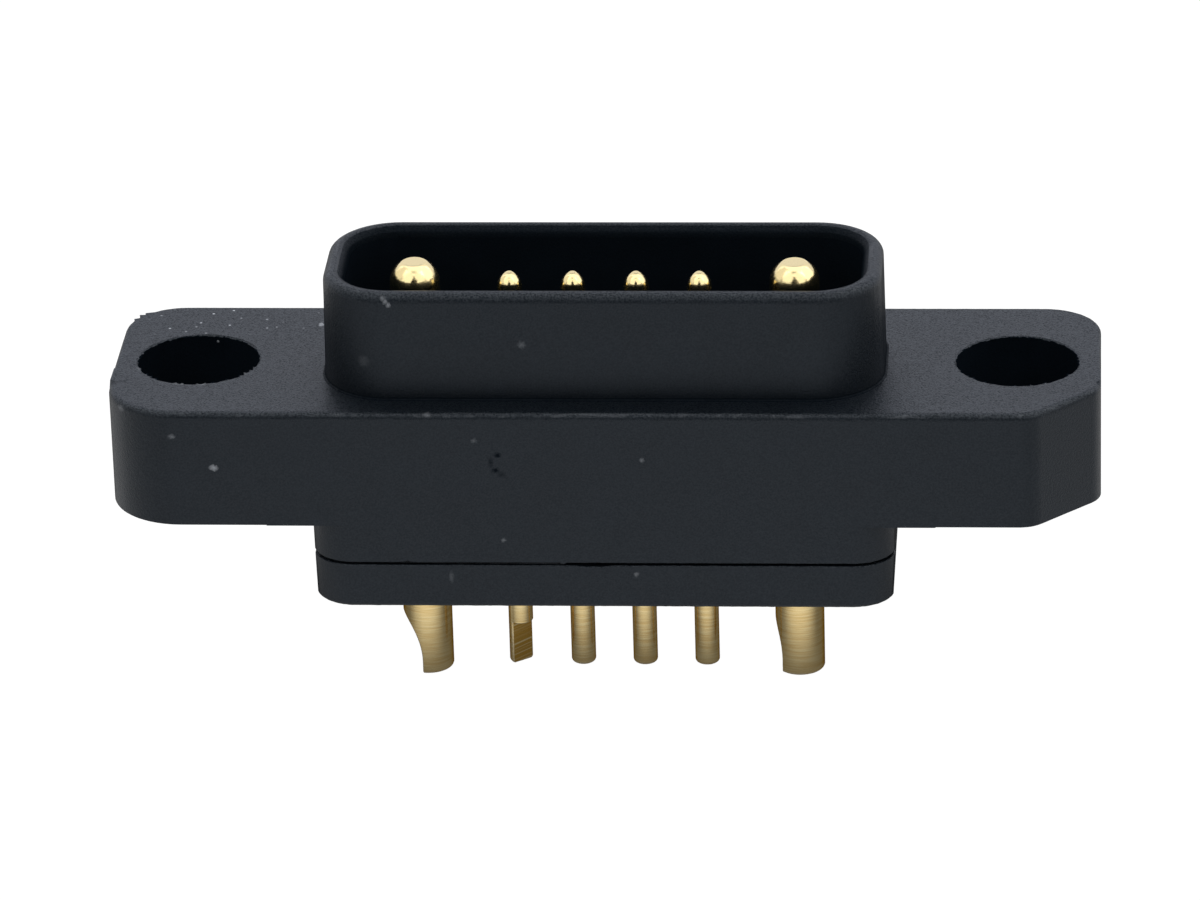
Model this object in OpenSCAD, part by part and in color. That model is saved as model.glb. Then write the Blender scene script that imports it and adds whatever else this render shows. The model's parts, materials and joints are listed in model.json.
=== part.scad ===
// Panel-mount battery connector: two power pins and four signal pins in one row.
// Origin: centre of the mounting-hole line on the underside of the flange.
// +X runs along the flange, +Y to its back edge, +Z out of the open shroud.

/* [Flange] */
// Length of the flange, over both ears
flange_l = 39.7; // [38.5:0.1:48]
// Width of the flange, front to back
flange_w = 10.7; // [9.4:0.1:14]
// Thickness of the flange
flange_t = 4.9; // [4:0.1:8]
// Radius of the two back corners
back_corner_r = 2.3; // [0.5:0.1:4]
// Radius of the front left corner
front_corner_r = 3; // [0.5:0.1:4]
// Leg of the keying chamfer at the front right corner
key_chamfer = 2.7; // [1:0.1:4]
// Radius that softens both ends of the keying chamfer
key_edge_r = 1.2; // [0.2:0.1:2]

/* [Mounting holes] */
// Diameter of the two holes
hole_d = 4.8; // [3:0.1:5.5]
// Distance between the hole centres
hole_spacing = 33; // [31:0.1:33.6]

/* [Shroud] */
// Outside length of the shroud at its rim
shroud_l = 22.3; // [22:0.1:25]
// Outside width of the shroud at its rim
shroud_w = 7.8; // [6.5:0.1:8.4]
// Height of the shroud above the flange
shroud_h = 4.5; // [3.5:0.05:6]
// Wall of the shroud below its lead-in
shroud_wall = 0.85; // [0.75:0.05:1]
// Outside corner radius at the rim
shroud_corner_r = 2.75; // [1.5:0.05:3.2]
// Moulding draft of the walls, in degrees
draft = 1; // [0.2:0.1:2]
// Fillet on the outer edge of the rim
rim_fillet = 0.4; // [0.05:0.05:0.5]
// Fillet where the shroud meets the flange
base_fillet = 0.1; // [0.05:0.05:0.5]
// Width of the sloping lead-in inside the rim
lead_in_w = 0.15; // [0.05:0.05:0.4]
// Height of the sloping lead-in inside the rim
lead_in_h = 0.45; // [0.2:0.05:0.8]
// Depth of the cavity below the rim
cavity_depth = 6.4; // [5:0.05:7]

/* [Lower body and rear cover] */
// Length of the lower body where it meets the flange
body_l = 23.4; // [22.8:0.05:27]
// Moulding draft of both ends of the lower body and the cover, in degrees
end_draft = 2; // [0.5:0.1:3]
// Height of the lower body below the flange
body_h = 1.63; // [1.3:0.01:3]
// Corner radius of the lower body and of the cover
body_corner_r = 1.7; // [0.5:0.1:3]
// Thickness of the cover's plate
cover_t = 1.88; // [1.2:0.01:3]
// Open seam between the lower body and the cover
seam_gap = 0.09; // [0.03:0.01:0.15]
// Length of the raised land on the cover
land_l = 20.4; // [19.8:0.1:21.4]
// Width of the raised land on the cover
land_w = 5.6; // [4.4:0.1:7]
// Corner radius of the raised land
land_corner_r = 1.2; // [0.3:0.1:2]
// Depth of the pocket that takes the land
pocket_depth = 0.85; // [0.5:0.05:1.2]
// Depth of the funnels that guide the tails into the cover
funnel_depth = 0.12; // [0.05:0.01:0.15]

/* [Power contacts] */
// Distance of each power contact from the middle
power_x = 7.62; // [7.2:0.01:7.7]
// Diameter of the pin and its tail
power_d = 2; // [1.5:0.05:2.4]
// Diameter of the collar
power_collar_d = 3; // [2.7:0.05:3.4]
// Tip of the pin below the rim
power_tip_drop = 0.2; // [0:0.05:1]
// Length of the domed nose
power_nose_l = 0.89; // [0.6:0.01:1.4]
// Flat left by the lathe on the nose
power_nose_flat_d = 0.9; // [0.2:0.05:1]
// Length of the tail below the cover
power_tail_l = 5.15; // [4:0.05:8]
// Straight length of the solder flat, from the tail's end
power_flat_l = 0.57; // [0.3:0.01:1.2]
// Distance from the axis to the solder flat
power_flat_off = 0.2; // [0:0.05:0.5]
// Radius of the cutter that milled the solder flat
power_cutter_r = 2.9; // [1.5:0.1:4]
// Directions that the left and right solder flats face
power_flat_turn = [180, 144]; // [0:1:360]

/* [Signal contacts] */
// Pitch of the signal contacts
signal_pitch = 2.54; // [2.3:0.01:2.7]
// Diameter of the pin and its tail
signal_d = 1; // [0.7:0.05:1.2]
// Diameter of the collar
signal_collar_d = 1.8; // [1.7:0.05:1.95]
// Tip of the pin below the rim
signal_tip_drop = 0.65; // [0:0.05:1.5]
// Length of the bullet nose
signal_nose_l = 0.65; // [0.4:0.05:1.2]
// Flat left by the lathe on the nose
signal_nose_flat_d = 0.24; // [0.1:0.02:0.4]
// Length of the tail below the cover
signal_tail_l = 4.95; // [4:0.05:8]
// Length of the solder flat, from the tail's end
signal_flat_l = 1.85; // [1:0.05:3]
// Distance from the axis to the solder flat
signal_flat_off = 0.1; // [0:0.02:0.25]
// Directions that the solder flats face, from left to right
signal_flat_turn = [308, 90, 90, 90]; // [0:1:360]

/* [Fits] */
// Length of every collar
collar_l = 1.2; // [0.8:0.05:1.8]
// Chamfer on the collars
collar_edge = 0.15; // [0.05:0.01:0.2]
// Chamfer on the ends of the tails
tail_edge = 0.08; // [0.02:0.01:0.12]
// Radial room around the pins, the collars and the land
fit_room = 0.05; // [0.02:0.01:0.08]

/* [Hidden] */
$fn = 96;

plastic = "#2c3034";
cover_plastic = "#272b2e";
gold = "#c3a566";

// Length by which a cutting tool runs past a face
past = 1;
// Depth by which the shroud's root reaches into the flange
root = 0.5;

rim_z = flange_t + shroud_h;
floor_z = rim_z - cavity_depth;
body_z = -body_h;
pocket_z = body_z + pocket_depth;
seat_z = pocket_z + collar_l;
cover_top_z = body_z - seam_gap;
cover_z = cover_top_z - cover_t;

signal_x = [for (k = [-1.5:1:1.5]) k * signal_pitch];
power_places = [-power_x, power_x];

function unit(v) = v / norm(v);

// Outline with straight sides and a true arc at each corner.
module rounded_outline(corners, radii) {
    count = len(corners);
    arms = [for (i = [0:count - 1]) [
        unit(corners[(i + count - 1) % count] - corners[i]),
        unit(corners[(i + 1) % count] - corners[i])
    ]];
    halves = [for (arm = arms) acos(arm[0] * arm[1]) / 2];
    polygon([for (i = [0:count - 1], side = [0, 1])
        corners[i] + arms[i][side] * radii[i] / tan(halves[i])]);
    for (i = [0:count - 1])
        translate(corners[i] + unit(arms[i][0] + arms[i][1]) * radii[i] / sin(halves[i]))
            circle(radii[i]);
}

module rounded_rect(l, w, r) {
    x = l / 2;
    y = w / 2;
    rounded_outline([[x, y], [-x, y], [-x, -y], [x, -y]], [r, r, r, r]);
}

// Slice of the lower body's outer form: its two ends lean in with the draft.
module body_slice(low, high) {
    lean = tan(end_draft);
    intersection() {
        translate([0, 0, low]) linear_extrude(high - low)
            rounded_rect(body_l, flange_w, body_corner_r);
        rotate([90, 0, 0]) linear_extrude(flange_w + 2 * past, center = true) polygon([
            [body_l / 2 + low * lean, low],
            [body_l / 2 + high * lean, high],
            [-body_l / 2 - high * lean, high],
            [-body_l / 2 - low * lean, low]
        ]);
    }
}

module flange_outline() {
    x = flange_l / 2;
    y = flange_w / 2;
    rounded_outline(
        [[x, y], [-x, y], [-x, -y], [x - key_chamfer, -y], [x, key_chamfer - y]],
        [back_corner_r, back_corner_r, front_corner_r, key_edge_r, key_edge_r]
    );
}

// Block with rounded corners whose wall follows a section.
// The section's x is the reach from the corner's centre line, its y is height.
module swept_block(l, w, r, low, high) {
    x = l / 2 - r;
    y = w / 2 - r;
    translate([-x, -y, low]) cube([2 * x, 2 * y, high - low]);
    for (s = [1, -1]) {
        translate([s * x, 0, 0]) rotate([90, 0, s > 0 ? 0 : 180])
            linear_extrude(2 * y, center = true) children();
        translate([0, s * y, 0]) rotate([90, 0, s * 90])
            linear_extrude(2 * x, center = true) children();
        translate([s * x, s * y, 0]) rotate(s > 0 ? 0 : 180)
            rotate_extrude(angle = 90) children();
        translate([-s * x, s * y, 0]) rotate(s * 90)
            rotate_extrude(angle = 90) children();
    }
}

// Section of the shroud's outside: base fillet, drafted wall, rounded rim.
module shroud_section() {
    slope = tan(draft);
    along = [cos(draft), sin(draft)];
    rim_at = [
        shroud_corner_r + rim_fillet * slope - rim_fillet / cos(draft),
        rim_z - rim_fillet
    ];
    base_at = [
        shroud_corner_r + (shroud_h - base_fillet) * slope + base_fillet / cos(draft),
        flange_t + base_fillet
    ];
    difference() {
        polygon([
            [0, flange_t - root],
            [base_at[0], flange_t - root],
            [base_at[0], flange_t],
            base_at - base_fillet * along,
            rim_at + rim_fillet * along,
            [rim_at[0], rim_z],
            [0, rim_z]
        ]);
        translate(base_at) circle(base_fillet);
    }
    translate(rim_at) circle(rim_fillet);
}

// Section of the cavity: drafted wall and the sloping lead-in at the rim.
module cavity_section() {
    neck = shroud_corner_r - shroud_wall;
    lead_z = rim_z - lead_in_h;
    polygon([
        [0, floor_z],
        [neck - (lead_z - floor_z) * tan(draft), floor_z],
        [neck, lead_z],
        [neck + lead_in_w, rim_z],
        [neck + lead_in_w, rim_z + past],
        [0, rim_z + past]
    ]);
}

// Bore for a pin, and the counterbore that seats its collar from behind.
module contact_seat(x, pin_d, collar_d) {
    translate([x, 0, pocket_z]) cylinder(d = pin_d + 2 * fit_room, h = floor_z - pocket_z + past);
    translate([x, 0, pocket_z - past]) cylinder(d = collar_d + 2 * fit_room, h = collar_l + past);
}

module front_housing() {
    color(plastic) difference() {
        union() {
            linear_extrude(flange_t) flange_outline();
            body_slice(body_z, 0);
            swept_block(shroud_l, shroud_w, shroud_corner_r, flange_t - root, rim_z)
                shroud_section();
        }
        swept_block(
            shroud_l, shroud_w, shroud_corner_r, floor_z, rim_z + past
        ) cavity_section();
        for (s = [-1, 1])
            translate([s * hole_spacing / 2, 0, -past]) cylinder(d = hole_d, h = flange_t + 2 * past);
        translate([0, 0, body_z - past]) linear_extrude(pocket_depth + past)
            rounded_rect(land_l + 2 * fit_room, land_w + 2 * fit_room, land_corner_r + fit_room);
        for (x = power_places) contact_seat(x, power_d, power_collar_d);
        for (x = signal_x) contact_seat(x, signal_d, signal_collar_d);
    }
}

// Hole for a tail through the cover, with a funnel on the inside.
module tail_hole(x, pin_d) {
    r = pin_d / 2 + fit_room;
    translate([x, 0, cover_z - past]) cylinder(r = r, h = pocket_z - cover_z + 2 * past);
    translate([x, 0, pocket_z - funnel_depth])
        cylinder(r1 = r, r2 = r + funnel_depth, h = funnel_depth);
}

module rear_cover() {
    color(cover_plastic) difference() {
        union() {
            body_slice(cover_z, cover_top_z);
            translate([0, 0, cover_z]) linear_extrude(pocket_z - cover_z)
                rounded_rect(land_l, land_w, land_corner_r);
        }
        for (x = power_places) tail_hole(x, power_d);
        for (x = signal_x) tail_hole(x, signal_d);
    }
}

// Half section of a turned contact: tail, chamfered collar, pin and curved nose.
module contact_section(pin_d, collar_d, tip_z, nose_l, nose_flat_d, tail_l) {
    r = pin_d / 2;
    collar_r = collar_d / 2;
    end_z = cover_z - tail_l;
    nose_z = tip_z - nose_l;
    step = r - nose_flat_d / 2;
    nose_r = (nose_l * nose_l + step * step) / (2 * step);
    polygon([
        [0, end_z],
        [r - tail_edge, end_z],
        [r, end_z + tail_edge],
        [r, pocket_z],
        [collar_r - collar_edge, pocket_z],
        [collar_r, pocket_z + collar_edge],
        [collar_r, seat_z - collar_edge],
        [collar_r - collar_edge, seat_z],
        [r, seat_z],
        [r, nose_z],
        [0, nose_z]
    ]);
    intersection() {
        translate([0, nose_z]) square([r, nose_l]);
        translate([r - nose_r, nose_z]) circle(nose_r);
    }
}

// Pin with the signal contacts' flat: milled square, with a plain shoulder.
module signal_contact(index) {
    end_z = cover_z - signal_tail_l;
    translate([signal_x[index], 0, 0]) difference() {
        rotate_extrude() contact_section(
            signal_d, signal_collar_d, rim_z - signal_tip_drop,
            signal_nose_l, signal_nose_flat_d, signal_tail_l
        );
        rotate(signal_flat_turn[index])
            translate([signal_flat_off, -signal_d, end_z - past])
                cube([signal_d, 2 * signal_d, signal_flat_l + past]);
    }
}

// Pin with the power contacts' flat: it runs out along the cutter's curve.
module power_contact(index) {
    end_z = cover_z - power_tail_l;
    flat_z = end_z + power_flat_l;
    translate([power_places[index], 0, 0]) difference() {
        rotate_extrude() contact_section(
            power_d, power_collar_d, rim_z - power_tip_drop,
            power_nose_l, power_nose_flat_d, power_tail_l
        );
        rotate(power_flat_turn[index]) {
            translate([power_flat_off, -power_d, end_z - past])
                cube([power_d, 2 * power_d, power_flat_l + past]);
            translate([power_flat_off + power_cutter_r, 0, flat_z]) rotate([90, 0, 0])
                cylinder(r = power_cutter_r, h = 2 * power_d, center = true);
        }
    }
}

module power_contact_left() { color(gold) power_contact(0); }
module power_contact_right() { color(gold) power_contact(1); }
module signal_contact_1() { color(gold) signal_contact(0); }
module signal_contact_2() { color(gold) signal_contact(1); }
module signal_contact_3() { color(gold) signal_contact(2); }
module signal_contact_4() { color(gold) signal_contact(3); }

front_housing();
rear_cover();
power_contact_left();
power_contact_right();
signal_contact_1();
signal_contact_2();
signal_contact_3();
signal_contact_4();
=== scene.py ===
"""Looks of a panel-mount battery connector: a matt black moulded housing and six gold-plated pins.

The CAD solids give every form, size and place. Each piece here is a dressed copy of one solid, with
worn edges, moulding flaws and a finish of its own.
"""
import json
import math
import random

import bmesh
import bpy
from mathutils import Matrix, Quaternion, Vector


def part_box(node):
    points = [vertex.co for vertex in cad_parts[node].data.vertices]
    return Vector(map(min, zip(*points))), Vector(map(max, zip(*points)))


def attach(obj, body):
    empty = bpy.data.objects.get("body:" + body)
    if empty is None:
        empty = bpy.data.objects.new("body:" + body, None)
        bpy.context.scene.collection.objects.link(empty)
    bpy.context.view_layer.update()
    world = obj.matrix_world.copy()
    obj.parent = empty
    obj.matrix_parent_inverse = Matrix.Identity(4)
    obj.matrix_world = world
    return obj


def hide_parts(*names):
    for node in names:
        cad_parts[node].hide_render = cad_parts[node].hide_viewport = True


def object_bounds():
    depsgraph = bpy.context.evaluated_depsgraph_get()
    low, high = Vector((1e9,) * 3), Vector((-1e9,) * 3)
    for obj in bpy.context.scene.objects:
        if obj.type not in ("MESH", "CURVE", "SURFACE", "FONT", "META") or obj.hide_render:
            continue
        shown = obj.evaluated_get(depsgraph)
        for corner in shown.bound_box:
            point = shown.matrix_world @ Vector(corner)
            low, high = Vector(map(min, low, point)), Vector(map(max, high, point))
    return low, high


MM = 0.001

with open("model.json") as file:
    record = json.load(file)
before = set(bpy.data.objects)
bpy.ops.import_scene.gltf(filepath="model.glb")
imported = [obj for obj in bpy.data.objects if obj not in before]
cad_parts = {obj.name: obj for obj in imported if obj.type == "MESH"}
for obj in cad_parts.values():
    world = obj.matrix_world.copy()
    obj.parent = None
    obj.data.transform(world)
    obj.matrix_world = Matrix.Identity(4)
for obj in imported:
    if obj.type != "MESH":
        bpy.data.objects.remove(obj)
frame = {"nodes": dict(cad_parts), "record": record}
cad_box = [list(corner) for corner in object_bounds()]

# Places on the part, in mm, worked out from the frame

mounts = {mount["name"]: mount for mount in frame["record"]["mounts"]}
housing_low, housing_high = [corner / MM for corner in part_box("front_housing")]
front_y = housing_low.y
rim_top = housing_high.z
seam_z = housing_low.z
cover_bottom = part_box("rear_cover")[0].z / MM
flange_top = mounts["flange_top"]["pos_m"][2] / MM
hole_x = mounts["mounting_holes"]["dims"]["spacing_x_mm"] / 2
hole_r = mounts["mounting_holes"]["dims"]["hole_r_mm"]


# Small helpers

def linear(hex_colour):
    """An sRGB hex colour, such as "#14181b", as the linear RGBA that shaders take."""
    channels = [int(hex_colour[i:i + 2], 16) / 255 for i in (1, 3, 5)]
    return [c / 12.92 if c <= 0.04045 else ((c + 0.055) / 1.055) ** 2.4 for c in channels] + [1.0]


def per_mm(size):
    """The scale of a texture, in metres, whose pattern repeats about every size millimetres."""
    return 1 / (size * MM)


def new_material(name):
    """A node material that has no nodes yet."""
    material = bpy.data.materials.new(name)
    material.use_nodes = True
    material.node_tree.nodes.clear()
    return material


def add_node(owner, kind, inputs=None, **settings):
    """Adds one node. An input given as another node's socket is linked, and any other value is set."""
    node = owner.node_tree.nodes.new(kind)
    for name, value in settings.items():
        setattr(node, name, value)
    for name, value in (inputs or {}).items():
        if isinstance(value, bpy.types.NodeSocket):
            owner.node_tree.links.new(value, node.inputs[name])
        else:
            node.inputs[name].default_value = value
    return node


# Finishes

def spots(material, place, marks):
    """The strength, from 0 to 1, of soft round marks.

    Each mark gives its centre and its reach, both in mm, and how strong it is.
    """
    total = 0.0
    for centre, reach, strength in marks:
        local = add_node(material, "ShaderNodeMapping", {
            "Vector": place,
            "Location": Vector(centre) * MM,
            "Scale": Vector(reach) * MM}, vector_type="TEXTURE")
        ball = add_node(material, "ShaderNodeTexGradient",
                        {"Vector": local.outputs["Vector"]}, gradient_type="SPHERICAL")
        mark = add_node(material, "ShaderNodeMath",
                        {0: ball.outputs["Fac"], 1: strength}, operation="MULTIPLY")
        total = add_node(material, "ShaderNodeMath",
                         {0: total, 1: mark.outputs[0]}, operation="MAXIMUM", use_clamp=True).outputs[0]
    return total


def wobbled(material, place, size, shift):
    """Places pushed about in lumps of about size, by up to shift along each axis, both in mm.

    Marks laid on them get ragged outlines.
    """
    noise = add_node(material, "ShaderNodeTexNoise", {"Vector": place, "Scale": per_mm(size)})
    even = add_node(material, "ShaderNodeVectorMath",
                    {0: noise.outputs["Color"], 1: (0.5, 0.5, 0.5)}, operation="SUBTRACT")
    push = add_node(material, "ShaderNodeVectorMath", {
        0: even.outputs[0], 1: [2 * shift * MM] * 3, 2: place}, operation="MULTIPLY_ADD")
    return push.outputs[0]


# Marks: the centre and the reach along X, Y and Z, in mm, and the strength

dust_marks = [
    ((-15.4, front_y, 2.53), (0.22, 0.3, 0.16), 1.3),
    ((-17.02, front_y, 3.88), (0.18, 0.3, 0.14), 0.5),
    ((-19.2, -4.3, 4.65), (0.25, 0.3, 0.18), 0.4),
    ((-6.8, front_y, 4.85), (0.22, 0.3, 0.15), 0.5),
    ((1.68, front_y, 2.91), (0.12, 0.3, 0.12), 0.5),
    ((-4.97, front_y, 3.74), (0.16, 0.3, 0.12), 0.3),
    ((-6.06, front_y, -2.24), (0.12, 0.3, 0.32), 0.22),
    ((1.35, front_y, -2.1), (0.13, 0.3, 0.13), 0.5),
    ((-3.92, front_y, -0.6), (0.12, 0.3, 0.12), 0.4),
    ((-11.88, 3.53, flange_top), (0.12, 0.2, 0.2), 3.0),
    ((-17.0, -2.4, 4.88), (0.4, 0.14, 0.1), 0.8),
    ((-16.1, -2.44, 4.88), (0.3, 0.14, 0.1), 0.9),
    ((-14.5, -1.4, 4.88), (0.16, 0.2, 0.1), 0.4),
    ((-18.8, -0.9, 4.88), (0.14, 0.3, 0.1), 0.4),
    ((-8.52, -3.85, 9.22), (0.12, 0.4, 0.12), 0.5),
    ((-8.42, -3.9, 9.1), (0.12, 0.4, 0.14), 0.7),
    ((-8.3, -3.9, 8.97), (0.11, 0.4, 0.14), 0.8),
    ((-9.45, -3.95, 6.5), (0.35, 0.4, 0.35), 0.2),
    ((-3.06, -3.95, 7.28), (0.2, 0.4, 0.2), 0.3),
]
# The pit's dark crescent is painted shade: these marks take the gloss off.
front_pit = [
    ((-4.04, front_y, 3.11), (0.2, 0.3, 0.15), 1.3),
    ((-4.14, front_y, 2.46), (0.2, 0.3, 0.15), 1.3),
    ((-3.9, front_y, 2.28), (0.25, 0.3, 0.18), 0.6),
    ((-4.32, front_y, 2.8), (0.14, 0.3, 0.3), 0.8),
]
dusty_ear = [((-15.8, 4.0, flange_top), (4.6, 2.4, 0.5), 2.5)]
pitted_tail = [((-8.25, -0.75, -4.4), (0.75, 0.9, 1.5), 2.0)]


def housing_plastic():
    """Glass-filled PBT, moulded in a spark-eroded tool.

    The tool leaves a fine matt grain. Its glint is painted stronger on faces turned up to the light, as a
    painted highlight, and the gloss of faces seen almost edge on is hidden. Rubbed edges turn pale and dust
    sticks to the grain. Painted shade takes the gloss off the cavity, the holes, the inner rim, the
    shroud's foot and a pit in the front, so they stay black.
    """
    dust_cover = 0.45
    # Sizes in mm. The grain is drawn as coarse as it needs to show.
    grain = 0.075
    cloud = 1.6
    fleck_spacing = 0.4
    material = new_material("glass_filled_pbt_moulded_black")
    place = add_node(material, "ShaderNodeTexCoord").outputs["Object"]
    rough_place = wobbled(material, place, size=0.08, shift=0.09)
    fine = add_node(material, "ShaderNodeTexNoise",
                    {"Vector": place, "Scale": per_mm(grain), "Detail": 3.0, "Roughness": 0.6})
    soft = add_node(material, "ShaderNodeTexNoise",
                    {"Vector": place, "Scale": per_mm(cloud), "Detail": 2.0})
    black = add_node(material, "ShaderNodeMix", {
        "Factor": soft.outputs["Fac"],
        "A": linear("#090e13"),
        "B": linear("#0d1319")}, data_type="RGBA")

    dust = spots(material, rough_place, dust_marks)
    flecks = add_node(material, "ShaderNodeTexVoronoi", {"Vector": place, "Scale": per_mm(fleck_spacing)})
    fleck = add_node(material, "ShaderNodeMapRange", {
        "Value": flecks.outputs["Distance"], "From Min": 0.17, "From Max": 0.08})
    fleck_kind = add_node(material, "ShaderNodeSeparateColor", {"Color": flecks.outputs["Color"]})
    fleck_pale = add_node(material, "ShaderNodeMapRange", {
        "Value": fleck_kind.outputs[0], "From Min": 0.2})
    fleck_seen = add_node(material, "ShaderNodeMath", {
        0: fleck.outputs["Result"], 1: fleck_pale.outputs["Result"]}, operation="MULTIPLY")
    ear_dust = add_node(material, "ShaderNodeMath", {
        0: fleck_seen.outputs[0], 1: spots(material, place, dusty_ear)}, operation="MULTIPLY")
    worn = add_node(material, "ShaderNodeAttribute", attribute_name="edge_wear")
    rubbed = add_node(material, "ShaderNodeMapRange", {
        "Value": worn.outputs["Fac"], "From Min": 0.6, "From Max": 1.0, "To Max": 0.05})
    thin_dust = add_node(material, "ShaderNodeMath", {
        0: dust, 1: dust_cover}, operation="MULTIPLY")
    stuck = add_node(material, "ShaderNodeMath", {
        0: thin_dust.outputs[0], 1: ear_dust.outputs[0]}, operation="MAXIMUM")
    pale = add_node(material, "ShaderNodeMath", {
        0: stuck.outputs[0], 1: rubbed.outputs["Result"]}, operation="MAXIMUM")
    colour = add_node(material, "ShaderNodeMix", {
        "Factor": pale.outputs[0],
        "A": black.outputs["Result"],
        "B": linear("#bcc0c6")}, data_type="RGBA")

    rough = add_node(material, "ShaderNodeMapRange", {
        "Value": fine.outputs["Fac"], "From Min": 0.3, "From Max": 0.7, "To Min": 0.32, "To Max": 0.46})
    # Painted highlight: the grain's glint swings wider on faces turned up, where the light falls from above,
    # than on upright faces.
    facing = add_node(material, "ShaderNodeNewGeometry").outputs["Normal"]
    upward = add_node(material, "ShaderNodeSeparateXYZ", {"Vector": facing}).outputs["Z"]
    least = add_node(material, "ShaderNodeMapRange", {"Value": upward, "To Min": 0.24, "To Max": 0.05})
    most = add_node(material, "ShaderNodeMapRange", {"Value": upward, "To Min": 0.36, "To Max": 0.66})
    grain_and_painted_glint = add_node(material, "ShaderNodeMapRange", {
        "Value": fine.outputs["Fac"], "From Min": 0.35, "From Max": 0.65,
        "To Min": least.outputs["Result"], "To Max": most.outputs["Result"]})
    # Painted shade: marked faces in the cavity, the holes, the inner rim and the shroud's foot, and the pit
    # in the front, lose their gloss and stay black.
    shade_attribute = add_node(material, "ShaderNodeAttribute", attribute_name="cored")
    painted_shade_all = add_node(material, "ShaderNodeMath", {
        0: shade_attribute.outputs["Fac"], 1: spots(material, rough_place, front_pit)}, operation="MAXIMUM")
    unshaded = add_node(material, "ShaderNodeMath", {0: 1.0, 1: painted_shade_all.outputs[0]}, operation="SUBTRACT")
    slant = add_node(material, "ShaderNodeLayerWeight", {"Blend": 0.5}).outputs["Facing"]
    open_grain = add_node(material, "ShaderNodeMapRange", {
        "Value": slant, "From Min": 0.6, "From Max": 0.88, "To Min": 1.0, "To Max": 0.05})
    masked = add_node(material, "ShaderNodeMath", {
        0: unshaded.outputs[0], 1: open_grain.outputs["Result"]}, operation="MULTIPLY")
    shine = add_node(material, "ShaderNodeMath", {
        0: grain_and_painted_glint.outputs["Result"], 1: masked.outputs[0]}, operation="MULTIPLY")
    bump = add_node(material, "ShaderNodeBump", {
        "Height": fine.outputs["Fac"], "Strength": 1.0, "Distance": 0.02 * MM})
    skin = add_node(material, "ShaderNodeBsdfPrincipled", {
        "Base Color": colour.outputs["Result"],
        "Roughness": rough.outputs["Result"],
        "Specular IOR Level": shine.outputs[0],
        "Specular Tint": linear("#e4eefa"),
        "Normal": bump.outputs["Normal"]})
    add_node(material, "ShaderNodeOutputMaterial", {"Surface": skin.outputs["BSDF"]})
    return material


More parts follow.
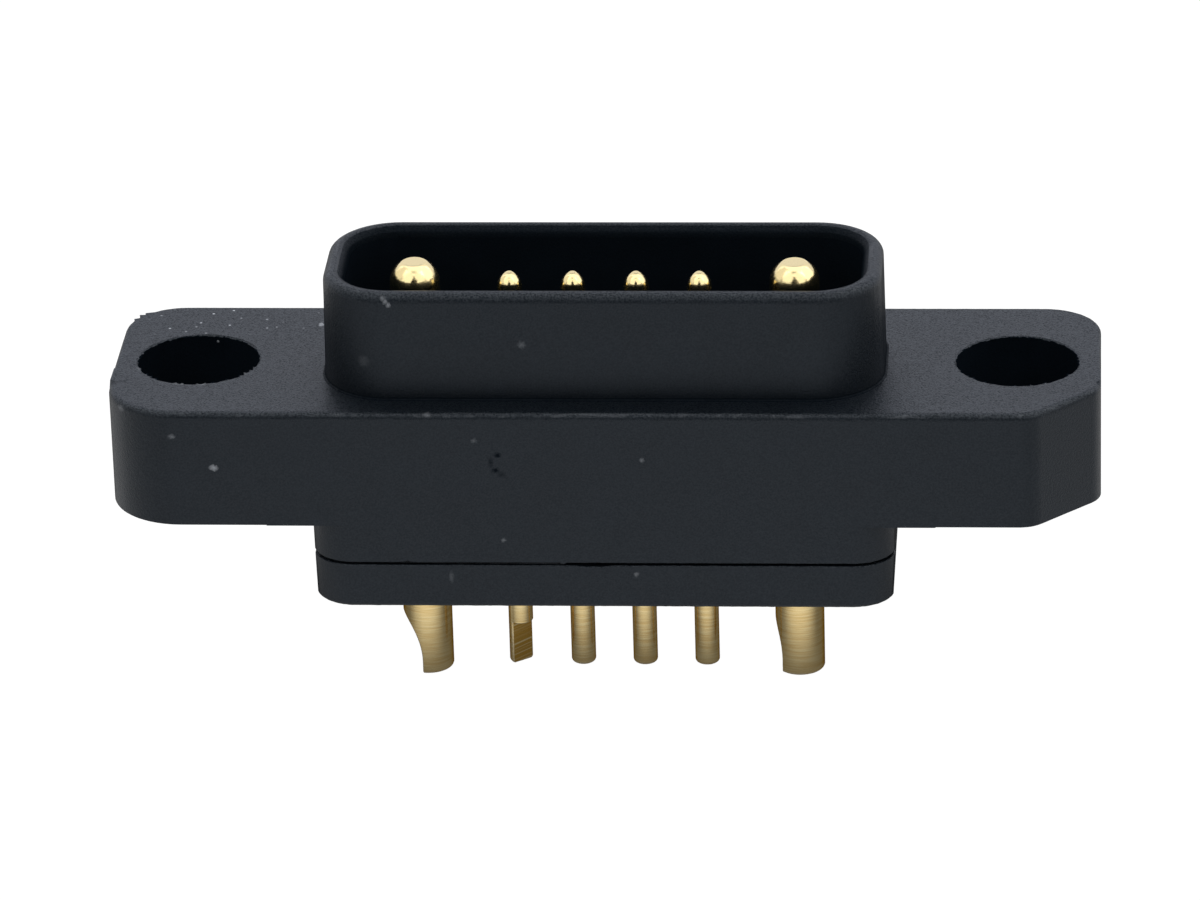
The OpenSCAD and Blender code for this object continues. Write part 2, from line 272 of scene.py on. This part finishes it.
def contact_gold():
    """Turned brass with a thin gold plate.

    The lathe leaves fine rings round the pin, and the plate follows them with a soft, warm shine. The
    mating ends are pale and bright, the tails deeper in colour. The milled flats keep slanting
    scratches, the cut edges are pale and rough, partly worn and partly a painted highlight, and the left
    power tail has corroded pits.
    """
    across_scratches = (-0.19, 0.05, 0.98)
    # Sizes and places in mm. The rings and scratches are drawn as coarse as they need to show.
    ring_spacing = 0.07
    scratch_spacing = 0.12
    cloud = 0.5
    pore_spacing = 0.3
    tail_z = -3
    mating_z = 5
    material = new_material("gold_plated_turned_brass")
    place = add_node(material, "ShaderNodeTexCoord").outputs["Object"]
    height = add_node(material, "ShaderNodeSeparateXYZ", {"Vector": place}).outputs["Z"]
    rings_place = add_node(material, "ShaderNodeMapping", {"Vector": place, "Scale": (0.06, 0.06, 1.0)})
    rings = add_node(material, "ShaderNodeTexNoise",
                     {"Vector": rings_place.outputs["Vector"], "Scale": per_mm(ring_spacing), "Detail": 2.0})
    soft = add_node(material, "ShaderNodeTexNoise",
                    {"Vector": place, "Scale": per_mm(cloud), "Detail": 3.0})
    mating = add_node(material, "ShaderNodeMapRange", {
        "Value": height, "From Min": tail_z * MM, "From Max": mating_z * MM}).outputs["Result"]
    ring = add_node(material, "ShaderNodeMapRange", {
        "Value": rings.outputs["Fac"], "From Min": 0.35, "From Max": 0.65})
    tail = add_node(material, "ShaderNodeMix", {
        "Factor": ring.outputs["Result"],
        "A": linear("#e8c98a"),
        "B": linear("#f6dfa6")}, data_type="RGBA")
    turned = add_node(material, "ShaderNodeMix", {
        "Factor": mating,
        "A": tail.outputs["Result"],
        "B": linear("#f8e2a8")}, data_type="RGBA")

    across = add_node(material, "ShaderNodeVectorMath", {
        0: place, 1: across_scratches}, operation="DOT_PRODUCT")
    lines = add_node(material, "ShaderNodeTexNoise", {
        "W": across.outputs["Value"], "Scale": per_mm(scratch_spacing), "Detail": 3.0},
        noise_dimensions="1D")
    scratch = add_node(material, "ShaderNodeMapRange", {
        "Value": lines.outputs["Fac"], "From Min": 0.53, "From Max": 0.68})
    milled_colour = add_node(material, "ShaderNodeMix", {
        "Factor": scratch.outputs["Result"],
        "A": linear("#d8aa50"),
        "B": linear("#ffe6ac")}, data_type="RGBA")
    milled = add_node(material, "ShaderNodeAttribute", attribute_name="milled")
    cut = add_node(material, "ShaderNodeMix", {
        "Factor": milled.outputs["Fac"],
        "A": turned.outputs["Result"],
        "B": milled_colour.outputs["Result"]}, data_type="RGBA")

    pores = add_node(material, "ShaderNodeTexVoronoi", {
        "Vector": wobbled(material, place, size=0.1, shift=0.05), "Scale": per_mm(pore_spacing)})
    pore = add_node(material, "ShaderNodeMapRange", {
        "Value": pores.outputs["Distance"], "From Min": 0.3, "From Max": 0.2})
    pit = add_node(material, "ShaderNodeMath", {
        0: pore.outputs["Result"], 1: spots(material, place, pitted_tail)}, operation="MULTIPLY")
    pitted = add_node(material, "ShaderNodeMix", {
        "Factor": pit.outputs[0],
        "A": cut.outputs["Result"],
        "B": linear("#6b4a1e")}, data_type="RGBA")
    # Cut edges: pale wear mixed with a painted highlight, standing in for the bright line they reflect.
    worn = add_node(material, "ShaderNodeAttribute", attribute_name="edge_wear")
    bright = add_node(material, "ShaderNodeMath", {0: worn.outputs["Fac"], 1: 0.8}, operation="MULTIPLY")
    colour = add_node(material, "ShaderNodeMix", {
        "Factor": bright.outputs[0],
        "A": pitted.outputs["Result"],
        "B": linear("#fff3d6")}, data_type="RGBA")

    base_rough = add_node(material, "ShaderNodeMapRange", {
        "Value": mating, "To Min": 0.13, "To Max": 0.12})
    rough = add_node(material, "ShaderNodeMath", {
        0: soft.outputs["Fac"], 1: 0.12, 2: base_rough.outputs["Result"]}, operation="MULTIPLY_ADD")
    burred = add_node(material, "ShaderNodeMath", {
        0: worn.outputs["Fac"], 1: 0.35, 2: rough.outputs[0]}, operation="MULTIPLY_ADD")
    bump = add_node(material, "ShaderNodeBump", {
        "Height": rings.outputs["Fac"], "Strength": 0.3, "Distance": 0.01 * MM})
    low_shine = add_node(material, "ShaderNodeMix", {
        "Factor": mating,
        "A": linear("#c8963c"),
        "B": linear("#ffffff")}, data_type="RGBA")
    plate = add_node(material, "ShaderNodeBsdfPrincipled", {
        "Base Color": colour.outputs["Result"],
        "Metallic": 1.0,
        "Specular Tint": low_shine.outputs["Result"],
        "Roughness": burred.outputs[0],
        "Normal": bump.outputs["Normal"]})
    add_node(material, "ShaderNodeOutputMaterial", {"Surface": plate.outputs["BSDF"]})
    return material


# Pieces

many_corners = 12


def select(piece, kind, wanted):
    """In edit mode, selects the verts, edges or faces for which wanted is true, and nothing else."""
    bpy.ops.mesh.select_mode(type={"verts": "VERT", "edges": "EDGE", "faces": "FACE"}[kind])
    mesh = bmesh.from_edit_mesh(piece.data)
    for part in (mesh.verts, mesh.edges, mesh.faces):
        for item in part:
            item.select = False
    for item in getattr(mesh, kind):
        if wanted(item):
            item.select_set(True)
    bmesh.update_edit_mesh(piece.data)


def round_edges(piece, where, width, step, burr, wander, chance):
    """Rounds the sharp edges for which where(point) is true, in short steps that stray from true.

    step is the length of the steps and burr how far the round strays. wander is how far the edge
    strays within its level before it is rounded. chance is a source of random numbers. The round is
    marked with how worn it is, for the finish to read. Before they stray, the edge and its round are
    pushed in further than they can come out again, so they stay inside the solid.
    """
    sharp = math.radians(28)
    halvings = 8
    push_in = 1.5

    def is_sharp(edge):
        middle = (edge.verts[0].co + edge.verts[1].co) / 2
        return where(middle / MM) and edge.is_convex and edge.calc_face_angle() > sharp

    def is_long(edge):
        return is_sharp(edge) and edge.calc_length() > step

    def in_round(vert):
        return where(vert.co / MM) and all(face.calc_area() < width * step for face in vert.link_faces)

    for _ in range(halvings):
        select(piece, "edges", is_long)
        bpy.ops.mesh.subdivide(number_cuts=1)
    select(piece, "edges", is_sharp)
    if wander:
        level = max(vert.co.z for vert in bmesh.from_edit_mesh(piece.data).verts if vert.select)
        bpy.ops.transform.shrink_fatten(value=-push_in * wander)
        bpy.ops.transform.vertex_random(offset=wander, normal=0.0, seed=chance.randrange(1000))
        bpy.ops.transform.resize(value=(1, 1, 0), center_override=(0, 0, level))
    bpy.ops.mesh.bevel(offset=width, segments=3, profile=0.5, affect="EDGES",
                       clamp_overlap=False, loop_slide=False)
    select(piece, "verts", in_round)
    bpy.ops.transform.shrink_fatten(value=-push_in * burr)
    bpy.ops.transform.vertex_random(offset=burr, normal=0.0, seed=chance.randrange(1000))
    mesh = bmesh.from_edit_mesh(piece.data)
    wear = mesh.verts.layers.float["edge_wear"]
    for vert in mesh.verts:
        if vert.select:
            vert[wear] = chance.random()
    bmesh.update_edit_mesh(piece.data)


def scale_mesh(piece, factor):
    """Makes the mesh itself larger or smaller, and leaves the object unscaled."""
    piece.scale = [factor] * 3
    bpy.ops.object.transform_apply(location=False, rotation=False, scale=True)


def dressed_copy(node, rounds, flaws, flat_area=math.inf):
    """A copy of a CAD solid with its loose triangles merged and its sharp edges rounded.

    rounds lists where, width, step, burr and wander of each kind of edge, in mm. flaws is a function that
    adds the piece's own flaws in edit mode. Faces with many corners, or larger than flat_area in square
    mm, are shaded as flat right up to their rounds, the largest last.
    """
    same_place = 0.0005 * MM
    slack = 0.0001 * MM
    flat_angle = math.radians(0.4)
    smooth_angle = math.radians(40)
    bpy.ops.object.select_all(action="DESELECT")
    piece = bpy.data.objects.new(node + "_dressed", frame["nodes"][node].data.copy())
    bpy.context.scene.collection.objects.link(piece)
    bpy.context.view_layer.objects.active = piece
    piece.select_set(True)
    piece.data.materials.clear()
    piece.data.attributes.new("edge_wear", "FLOAT", "POINT")
    bpy.ops.mesh.customdata_custom_splitnormals_clear()
    bpy.ops.object.mode_set(mode="EDIT")
    bpy.ops.mesh.select_all(action="SELECT")
    bpy.ops.mesh.remove_doubles(threshold=same_place)
    bpy.ops.mesh.dissolve_limited(angle_limit=flat_angle)
    bpy.ops.mesh.quads_convert_to_tris(quad_method="BEAUTY", ngon_method="BEAUTY")
    bpy.ops.mesh.beautify_fill(angle_limit=flat_angle)
    chance = random.Random(node)
    lowest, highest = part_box(node)
    for where, width, step, burr, wander in rounds:
        round_edges(piece, where, width * MM, step * MM, burr * MM, wander * MM, chance)
    select(piece, "verts", lambda vert: any(
        not low - slack < at < high + slack for low, at, high in zip(lowest, vert.co, highest)))
    bpy.ops.mesh.dissolve_verts()
    bpy.ops.mesh.select_all(action="SELECT")
    bpy.ops.mesh.dissolve_limited(angle_limit=flat_angle)
    flaws(piece)
    bpy.ops.object.mode_set(mode="OBJECT")
    bpy.ops.object.shade_smooth_by_angle(angle=smooth_angle)
    # Weighted Normal has no effect on faces this small in metres, so it works on a larger mesh.
    # A power of two brings every size back exactly.
    enlarged = 1024
    scale_mesh(piece, enlarged)
    weighted = piece.modifiers.new("even_faces", "WEIGHTED_NORMAL")
    weighted.keep_sharp = True
    bpy.ops.object.modifier_apply(modifier=weighted.name)
    scale_mesh(piece, 1 / enlarged)
    bpy.ops.object.mode_set(mode="EDIT")
    by_area = sorted(bmesh.from_edit_mesh(piece.data).faces, key=lambda face: face.calc_area())
    broad = [face.index for face in by_area
             if len(face.verts) > many_corners or face.calc_area() > flat_area * MM ** 2]
    for index in broad:
        select(piece, "faces", lambda face: face.index == index)
        bpy.ops.mesh.set_normals_from_faces(keep_sharp=True)
    bpy.ops.object.mode_set(mode="OBJECT")
    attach(piece, "root")
    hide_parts(node)
    return piece


def mark(piece, name, amount):
    """Writes amount(face) into every face under a name, for the finish to read."""
    mesh = bmesh.from_edit_mesh(piece.data)
    layer = mesh.faces.layers.float.new(name)
    for face in mesh.faces:
        face[layer] = amount(face)
    bmesh.update_edit_mesh(piece.data)


def nudge(piece, place, reach, move):
    """Drags the vert nearest to place by move, and its neighbours within reach along with it, in mm."""
    spot = Vector(place) * MM
    nearest = min(bmesh.from_edit_mesh(piece.data).verts, key=lambda vert: (vert.co - spot).length)
    target = nearest.co.copy()
    select(piece, "verts", lambda vert: (vert.co - target).length < 1e-7)
    bpy.ops.transform.translate(value=Vector(move) * MM, use_proportional_edit=True,
                                proportional_size=reach * MM, proportional_edit_falloff="SMOOTH")


def housing_flaws(piece):
    """Flash at the seam and at one corner of the flange, and painted shade on the cavity, the holes, the
    inner rim and the shroud's foot.
    """
    nudge(piece, (-1.59, -5.33, -1.63), 0.16, (0, 0, -0.07))
    nudge(piece, (-7.81, -5.33, -1.63), 0.25, (0, 0, 0.06))
    for x, y, move in ((-19.3, 4.35, 0.2), (-19.5, 4.0, 0.14), (-19.1, 4.6, 0.16), (-19.0, 4.8, 0.1)):
        nudge(piece, (x, y, flange_top), 0.16, (-move, 0.5 * move, 0))
    # Painted shade in the cavity, the holes, the inner rim and the shroud's foot.
    mark(piece, "cored", painted_shade_share)


def cover_flaws(piece):
    """A long nick in the front of the cover's top edge."""
    for x in (-0.75, -0.45, -0.15, 0.1):
        nudge(piece, (x, -5.33, -1.72), 0.3, (0, 0, -0.05))


def contact_flaws(piece):
    """Marks the milled flats of the tail: large upright faces with many corners."""
    least_area = 0.9 * MM ** 2
    upright = 0.3
    mark(piece, "milled", lambda face: (
        face.calc_area() > least_area and len(face.verts) > many_corners
        and abs(face.normal.z) < upright))


def painted_shade_share(face):
    """How much painted shade a face takes, from 0 to 1. Shade is painted on the cavity, the holes, the inner
    rim and the shroud's foot by taking away their gloss.

    The shroud's outlines curve about the same corner points, so the distance from the block between
    those points tells the cavity, the rim and the shroud's foot apart.
    """
    corner_x = 8.4
    corner_y = 1.15
    cavity_floor = 3.0
    lead_in_z = 8.9
    rim_round_z = 9.13
    cavity_reach = 2.2
    rim_reach = 2.41
    foot_reach = 3.2
    # Shares of painted shade on the inner rim and at the shroud's foot
    rim_shade = 0.86
    foot_shade = 0.9
    fade = 0.06
    point = face.calc_center_bounds() / MM
    from_middle = math.hypot(max(abs(point.x) - corner_x, 0), max(abs(point.y) - corner_y, 0))
    from_hole = math.hypot(abs(point.x) - hole_x, point.y)
    on_core = face.normal.z < 0.5 or point.z < cavity_floor + 1
    in_cavity = from_middle < cavity_reach and cavity_floor - 0.5 < point.z < lead_in_z and on_core
    on_hole_wall = hole_r - 0.6 < from_hole < hole_r + 0.06
    in_hole = on_hole_wall and point.z < flange_top - 0.015
    in_lead_in = from_middle < rim_reach and lead_in_z <= point.z < rim_round_z
    on_rim_round = from_middle < rim_reach and rim_round_z <= point.z
    just_above_flange = flange_top + 0.0001 < point.z < flange_top + 0.095
    at_shroud_foot = from_middle < foot_reach and just_above_flange
    # Painted shade: full in the cavity and the holes, partial on the inner rim and at the shroud's foot.
    return max(in_cavity, in_hole, rim_shade * in_lead_in, foot_shade * at_shroud_foot,
               on_rim_round * min((rim_top - point.z) / fade, rim_shade))


# Which edges a round takes: each function tells whether a point, in mm, lies near such an edge

edge_reach = 0.3
front_round_ends = -1


def near_hole(point):
    return math.hypot(abs(point.x) - hole_x, point.y) < hole_r + 0.6


def on_flange_top(point):
    foot_x = 12.2
    foot_y = 4.9
    beside_shroud = abs(point.x) < foot_x and abs(point.y) < foot_y
    return abs(point.z - flange_top) < edge_reach and not beside_shroud and not near_hole(point)


def on_flange_front(point):
    return on_flange_top(point) and point.y < front_round_ends


def on_flange_back(point):
    return on_flange_top(point) and point.y >= front_round_ends


def on_flange_bottom(point):
    return abs(point.z) < edge_reach and abs(point.x) > 12.0 and not near_hole(point)


def on_hole_top(point):
    return near_hole(point) and point.z > flange_top / 2


def on_hole_bottom(point):
    return near_hole(point) and point.z < flange_top / 2


def at_seam(point):
    pocket_x = 10.4
    pocket_y = 3.0
    outside_pocket = abs(point.x) > pocket_x or abs(point.y) > pocket_y
    return abs(point.z - seam_z) < 0.25 and outside_pocket


def on_inner_rim(point):
    return rim_top - 0.1 < point.z and abs(point.y) < 3.5


def on_cover_bottom(point):
    return point.z < (seam_z + cover_bottom) / 2


def on_tail(point):
    return point.z < cover_bottom - 0.1


plastic = housing_plastic()
gold = contact_gold()
flat_moulding = 2.5

# Each round: where, width, step, burr and wander, in mm

housing_rounds = [
    (on_flange_front, 0.26, 0.4, 0.0015, 0.01),
    (on_flange_back, 0.12, 0.25, 0.008, 0.01),
    (on_flange_bottom, 0.06, 0.25, 0.006, 0),
    (on_hole_top, 0.07, 0.2, 0.015, 0.05),
    (on_hole_bottom, 0.07, 0.4, 0.01, 0),
    (at_seam, 0.06, 0.2, 0.008, 0),
    (on_inner_rim, 0.28, 0.5, 0, 0),
]
cover_rounds = [(on_cover_bottom, 0.2, 0.25, 0.012, 0), (at_seam, 0.04, 0.15, 0.006, 0)]
contact_rounds = [(on_tail, 0.05, 0.15, 0.004, 0)]

for node in sorted(frame["nodes"]):
    if node == "front_housing":
        piece = dressed_copy(node, housing_rounds, housing_flaws, flat_moulding)
        piece.data.materials.append(plastic)
    elif node == "rear_cover":
        piece = dressed_copy(node, cover_rounds, cover_flaws, flat_moulding)
        piece.data.materials.append(plastic)
    else:
        piece = dressed_copy(node, contact_rounds, contact_flaws)
        piece.data.materials.append(gold)


# Studio: white paper, a lit backdrop, soft lamps above, in front and at the sides, and a dark room
# behind the camera

floor_z = cad_box[0][2]


def white_paper():
    """Matt white paper. The camera sees it burnt out to white, with a trace of the object's shadow.

    In reflections the paper shows a painted shadow and pool of light: it is dark under and behind the
    object, grows bright in front of it and beside it, and a little less bright far out to the sides.
    """
    shadow_share = 0.06
    mirror_share = 0.95
    front_light = 1.17
    side_light = 0.78
    shadow_light = 0.15
    burnt_out = 1.06
    # Lengths in mm
    shadow_length = 6.5
    shadow_half_width = 20
    side_light_from = 38
    material = new_material("studio_paper_matt_white")
    paper = add_node(material, "ShaderNodeBsdfDiffuse", {"Color": linear("#ececec")})
    ray = add_node(material, "ShaderNodeLightPath")
    seen = ray.outputs["Is Camera Ray"]
    place = add_node(material, "ShaderNodeTexCoord").outputs["Object"]
    split = add_node(material, "ShaderNodeSeparateXYZ", {"Vector": place})
    across = add_node(material, "ShaderNodeMath", {0: split.outputs["X"]}, operation="ABSOLUTE")
    beside = add_node(material, "ShaderNodeMath", {
        0: across.outputs[0], 1: -shadow_half_width * MM}, operation="ADD")
    beside = add_node(material, "ShaderNodeMath", {0: beside.outputs[0], 1: 0.0}, operation="MAXIMUM")
    ahead = add_node(material, "ShaderNodeMath", {0: split.outputs["Y"], 1: 0.0}, operation="MINIMUM")
    away = add_node(material, "ShaderNodeCombineXYZ", {"X": beside.outputs[0], "Y": ahead.outputs[0]})
    far_squared = add_node(material, "ShaderNodeVectorMath", {
        0: away.outputs[0], 1: away.outputs[0]}, operation="DOT_PRODUCT")
    # Painted shadow in reflections: dark under and behind the object, fading out over shadow_length.
    fade = add_node(material, "ShaderNodeMath", {
        0: far_squared.outputs["Value"], 1: -1 / (shadow_length * MM) ** 2}, operation="MULTIPLY")
    shadow = add_node(material, "ShaderNodeMath", {0: fade.outputs[0]}, operation="EXPONENT")
    # Painted pool of light: bright in front, less so far out to the sides.
    lit = add_node(material, "ShaderNodeMapRange", {
        "Value": across.outputs[0],
        "From Min": shadow_half_width * MM, "From Max": side_light_from * MM,
        "To Min": front_light, "To Max": side_light})
    in_front = add_node(material, "ShaderNodeMapRange", {
        "Value": shadow.outputs[0], "To Min": lit.outputs["Result"], "To Max": shadow_light})
    mirrored = add_node(material, "ShaderNodeMath", {
        0: ray.outputs["Is Glossy Ray"], 1: ray.outputs["Is Transmission Ray"]}, operation="MAXIMUM")
    mirror = add_node(material, "ShaderNodeMath", {
        0: mirrored.outputs[0], 1: mirror_share}, operation="MULTIPLY")
    share = add_node(material, "ShaderNodeMix", {
        "Factor": seen, "A": mirror.outputs[0], "B": 1 - shadow_share})
    level = add_node(material, "ShaderNodeMix", {
        "Factor": seen, "A": in_front.outputs["Result"], "B": burnt_out})
    burnt = add_node(material, "ShaderNodeEmission", {
        "Color": (1, 1, 1, 1), "Strength": level.outputs["Result"]})
    both = add_node(material, "ShaderNodeMixShader", {
        0: share.outputs["Result"], 1: paper.outputs[0], 2: burnt.outputs[0]})
    add_node(material, "ShaderNodeOutputMaterial", {"Surface": both.outputs[0]})
    return material


def paper_floor():
    """The paper lies flat under the object and runs far past the picture."""
    half_width = 2.0
    bpy.ops.object.select_all(action="DESELECT")
    bpy.ops.mesh.primitive_plane_add(size=2 * half_width, location=(0, 0, floor_z))
    bpy.ops.object.transform_apply(location=True, rotation=True, scale=True)
    paper = bpy.context.object
    paper.name = "paper_floor"
    paper.data.materials.append(white_paper())


def dark_paint(material):
    """Dark grey wall paint."""
    return add_node(material, "ShaderNodeBsdfDiffuse", {"Color": linear("#202020")})


def black_cloth(material):
    """Black cloth round the camera."""
    return add_node(material, "ShaderNodeBsdfDiffuse", {"Color": linear("#000000")})


def lit_paper(material):
    """White paper lit from above, so it grows brighter towards its top."""
    # Heights in metres
    low_z = 0.35
    high_z = 1.0
    # Strength at those heights
    low_light = 0.88
    high_light = 1.2
    place = add_node(material, "ShaderNodeTexCoord").outputs["Object"]
    height = add_node(material, "ShaderNodeSeparateXYZ", {"Vector": place}).outputs["Z"]
    level = add_node(material, "ShaderNodeMapRange", {
        "Value": height,
        "From Min": low_z, "From Max": high_z, "To Min": low_light, "To Max": high_light})
    return add_node(material, "ShaderNodeEmission", {
        "Color": (0.96, 0.99, 1.1, 1), "Strength": level.outputs["Result"]})


def wall(name, place, width, height, finish):
    """An upright wall of the studio that shows only in what the object reflects."""
    bpy.ops.object.select_all(action="DESELECT")
    bpy.ops.mesh.primitive_plane_add(size=1, location=place, rotation=(math.pi / 2, 0, 0))
    panel = bpy.context.object
    panel.name = name
    panel.scale = (width, height, 1)
    bpy.ops.object.transform_apply(location=True, rotation=True, scale=True)
    material = new_material(name)
    add_node(material, "ShaderNodeOutputMaterial", {"Surface": finish(material).outputs[0]})
    panel.data.materials.append(material)
    panel.visible_camera = False


def soft_lamp(name, place, size, watts):
    """A square soft lamp that looks at the middle of the part."""
    middle = Vector((0, 0, 0))
    lamp = bpy.data.lights.new(name, "AREA")
    lamp.size = size
    lamp.energy = watts
    holder = bpy.data.objects.new(name, lamp)
    bpy.context.scene.collection.objects.link(holder)
    holder.location = place
    holder.rotation_mode = "QUATERNION"
    holder.rotation_quaternion = (middle - Vector(place)).to_track_quat("-Z", "Y")


def white_world():
    """White walls all round. The camera sees them burnt out to white, as it does the paper."""
    wall_light = 0.3
    world = bpy.data.worlds.new("white_studio")
    world.use_nodes = True
    world.node_tree.nodes.clear()
    ray = add_node(world, "ShaderNodeLightPath")
    level = add_node(world, "ShaderNodeMapRange", {
        "Value": ray.outputs["Is Camera Ray"], "To Min": wall_light, "To Max": 1.0})
    walls = add_node(world, "ShaderNodeBackground", {
        "Color": (1, 1, 1, 1), "Strength": level.outputs["Result"]})
    add_node(world, "ShaderNodeOutputWorld", {"Surface": walls.outputs[0]})
    bpy.context.scene.world = world


paper_floor()
wall("dark_room", (0, -0.7, 0.07), 2.0, 0.3, dark_paint)
wall("dark_camera", (0.02, -0.4, 0.16), 0.2, 0.26, black_cloth)
wall("lit_backdrop", (0, 0.6, 0.5), 2.0, 1.04, lit_paper)
soft_lamp("overhead_lamp", (0, 0.06, 0.5), 0.5, 0.94)
soft_lamp("front_left_lamp", (-0.29, -0.37, 0.42), 0.55, 0.92)
soft_lamp("front_right_lamp", (0.29, -0.37, 0.42), 0.55, 0.92)
soft_lamp("left_lamp", (-0.48, 0.05, 0.37), 0.6, 0.7)
soft_lamp("right_lamp", (0.48, 0.05, 0.37), 0.6, 1.35)
white_world()


# Camera: far off with a long lens, a little to the right and well above

camera_aim = Vector((-0.367, 0, 0.916)) * MM
camera_distance = 283.169 * MM
camera_azimuth = math.radians(4.393)
camera_elevation = math.radians(24.521)
camera_roll = math.radians(-1.667)
camera_lens = 210

lens = bpy.data.cameras.new("camera")
lens.lens = camera_lens
lens.sensor_width = 36
lens.clip_start = 0.01
camera = bpy.data.objects.new("camera", lens)
bpy.context.scene.collection.objects.link(camera)
away = Vector((math.sin(camera_azimuth) * math.cos(camera_elevation),
               -math.cos(camera_azimuth) * math.cos(camera_elevation),
               math.sin(camera_elevation)))
camera.location = camera_aim + camera_distance * away
camera.rotation_mode = "QUATERNION"
camera.rotation_quaternion = (-away).to_track_quat("-Z", "Y") @ Quaternion((0, 0, 1), camera_roll)
bpy.context.scene.camera = camera
bpy.context.scene.view_settings.view_transform = "Standard"
